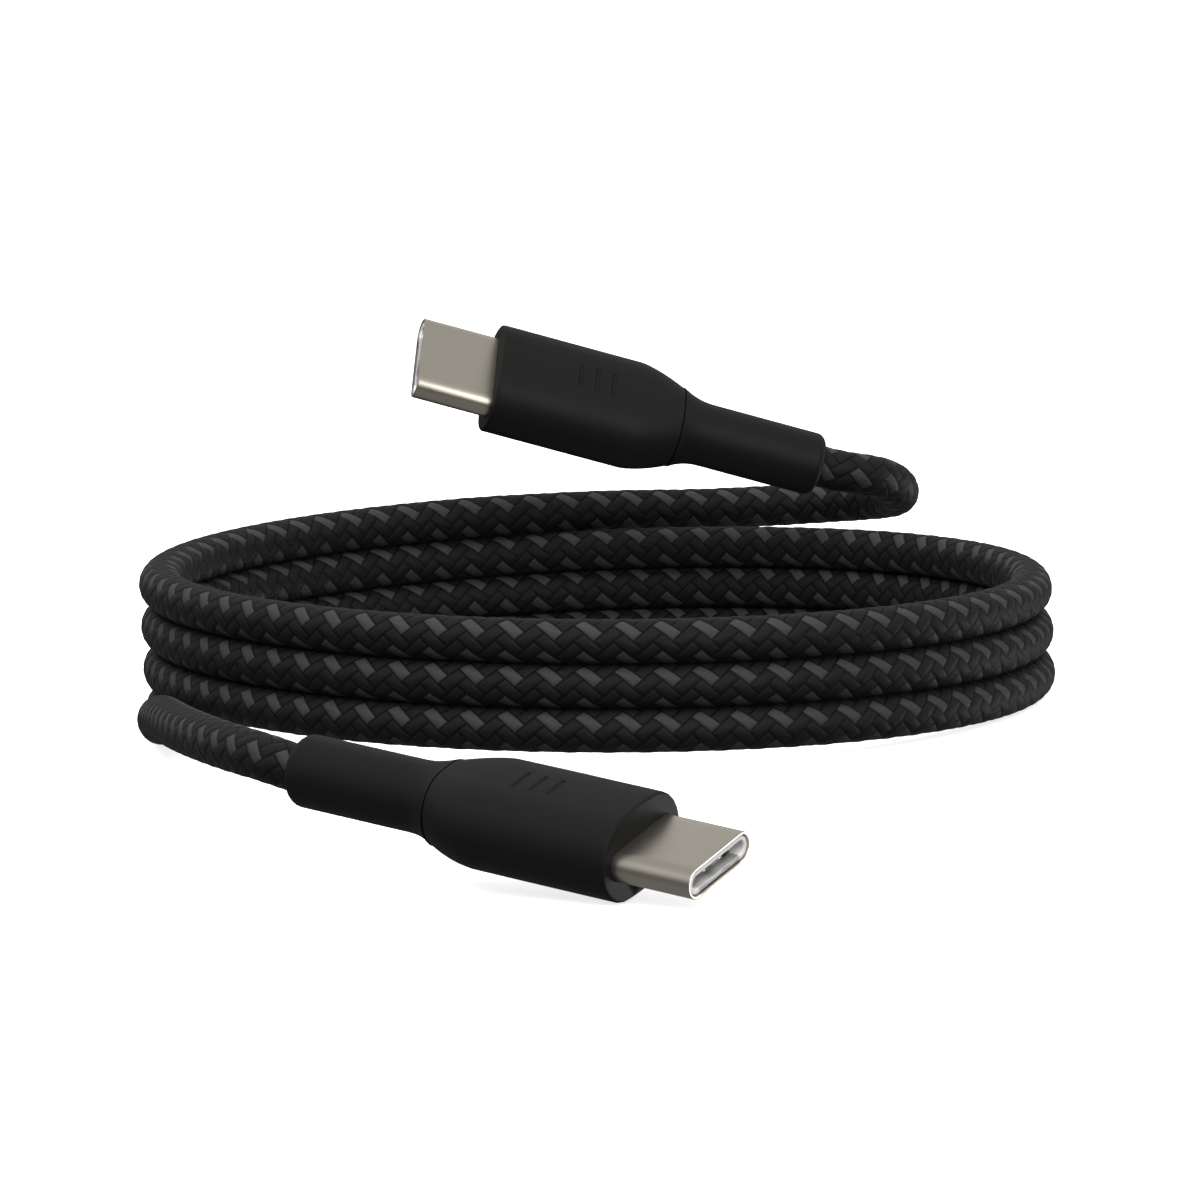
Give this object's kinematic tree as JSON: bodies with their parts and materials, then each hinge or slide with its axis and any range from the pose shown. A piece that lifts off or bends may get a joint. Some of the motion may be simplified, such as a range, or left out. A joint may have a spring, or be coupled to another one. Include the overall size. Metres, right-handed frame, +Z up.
{
  "type": "charging cable",
  "caption": "Braided charging cable wound in a stacked coil, with a slim flat-sided plug, a shoulder and a round strain relief at each end.",
  "frame": {"origin": "on the surface that the cable lies on, below the middle of the box around both plugs; the coil's centre is at x 0.00146, y 0.03642", "axes": "+X to the right and +Y away from a viewer in front of plug A, +Z up, square to the surface that the coil lies on"},
  "size_m": [0.0761, 0.1486, 0.0311],
  "materials": {
    "braid": "black braided yarn with dark grey accent yarns",
    "soft_plastic": "soft-touch matte black",
    "nickel_shell": "satin nickel plate",
    "light_insulator": "moulded off-white",
    "spring_steel": "bright rolled",
    "gold_contact": "gold flash",
    "circuit_board": "green solder mask",
    "dark_chip": "moulded black",
    "copper_ferrule": "satin copper",
    "red_cover": "smooth",
    "black_cover": "smooth",
    "blue_cover": "smooth",
    "green_cover": "smooth",
    "white_cover": "smooth"
  },
  "bodies": {
    "root": {"cable_coil": "braid", "cable_lead_a": "braid", "cable_lead_b": "braid", "cable_jacket_end_a": "braid", "cable_jacket_end_b": "braid", "plug_housing_a": "soft_plastic", "plug_housing_b": "soft_plastic", "strain_relief_a": "soft_plastic", "strain_relief_b": "soft_plastic", "plug_shell_a": "nickel_shell", "plug_shell_b": "nickel_shell", "contact_housing_a": "light_insulator", "contact_housing_b": "light_insulator", "rear_insulator_a": "light_insulator", "rear_insulator_b": "light_insulator", "ground_spring_top_a": "spring_steel", "ground_spring_top_b": "spring_steel", "ground_spring_bottom_a": "spring_steel", "ground_spring_bottom_b": "spring_steel", "latch_plate_a": "spring_steel", "latch_plate_b": "spring_steel", "contact_row_top_a": "gold_contact", "contact_row_top_b": "gold_contact", "contact_row_bottom_a": "gold_contact", "contact_row_bottom_b": "gold_contact", "circuit_board_a": "circuit_board", "circuit_board_b": "circuit_board", "marker_chip_a": "dark_chip", "marker_chip_b": "dark_chip", "shield_can_upper_a": "nickel_shell", "shield_can_upper_b": "nickel_shell", "shield_can_lower_a": "nickel_shell", "shield_can_lower_b": "nickel_shell", "crimp_ferrule_a": "copper_ferrule", "crimp_ferrule_b": "copper_ferrule", "power_wire_a": "red_cover", "power_wire_b": "red_cover", "ground_wire_a": "black_cover", "ground_wire_b": "black_cover", "config_wire_a": "blue_cover", "config_wire_b": "blue_cover", "data_plus_wire_a": "green_cover", "data_plus_wire_b": "green_cover", "data_minus_wire_a": "white_cover", "data_minus_wire_b": "white_cover"}
  },
  "joints": []
}
